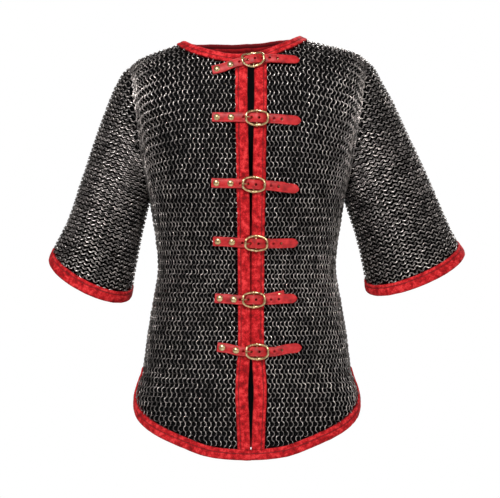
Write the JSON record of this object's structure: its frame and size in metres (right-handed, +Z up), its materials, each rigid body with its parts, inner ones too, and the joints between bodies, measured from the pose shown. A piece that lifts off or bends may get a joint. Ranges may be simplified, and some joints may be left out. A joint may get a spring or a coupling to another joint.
{
  "type": "chainmail hauberk",
  "caption": "Short-sleeved, hip-length chainmail coat open down the front, bound in red leather and closed by buckled leather straps, kept in its worn hollow form",
  "frame": {"origin": "between the wearer's shoulders, on the line where the coat hangs, in the middle of the coat's depth", "axes": "+Z up, -Y to the front of the coat, +X to the wearer's left"},
  "size_m": [0.747, 0.2737, 0.7516],
  "materials": {
    "mail": "dark oiled steel rings over black cloth",
    "binding": "matte red suede binding with a stitch line",
    "strap": "smooth satin red leather",
    "brass": "polished cast brass"
  },
  "bodies": {
    "root": {"mail_front_right": "mail", "mail_front_left": "mail", "mail_back": "mail", "mail_sleeve_right": "mail", "mail_sleeve_left": "mail", "cuff_binding_right": "binding", "cuff_binding_left": "binding", "hem_binding_front_right": "binding", "edge_binding_right": "binding", "hem_binding_front_left": "binding", "edge_binding_left": "binding", "hem_binding_back": "binding", "neck_binding": "binding", "closure_1_strap": "strap", "closure_1_rivet_1": "brass", "closure_1_rivet_2": "brass", "closure_1_buckle": "brass", "closure_1_prong": "brass", "closure_1_chape": "strap", "closure_1_chape_rivet": "brass", "closure_2_strap": "strap", "closure_2_rivet_1": "brass", "closure_2_rivet_2": "brass", "closure_2_buckle": "brass", "closure_2_prong": "brass", "closure_2_chape": "strap", "closure_2_chape_rivet": "brass", "closure_3_strap": "strap", "closure_3_rivet_1": "brass", "closure_3_rivet_2": "brass", "closure_3_buckle": "brass", "closure_3_prong": "brass", "closure_3_chape": "strap", "closure_3_chape_rivet": "brass", "closure_4_strap": "strap", "closure_4_rivet_1": "brass", "closure_4_rivet_2": "brass", "closure_4_buckle": "brass", "closure_4_prong": "brass", "closure_4_chape": "strap", "closure_4_chape_rivet": "brass", "closure_5_strap": "strap", "closure_5_rivet_1": "brass", "closure_5_rivet_2": "brass", "closure_5_buckle": "brass", "closure_5_prong": "brass", "closure_5_chape": "strap", "closure_5_chape_rivet": "brass", "closure_6_strap": "strap", "closure_6_rivet_1": "brass", "closure_6_rivet_2": "brass", "closure_6_buckle": "brass", "closure_6_prong": "brass", "closure_6_chape": "strap", "closure_6_chape_rivet": "brass"}
  },
  "joints": []
}
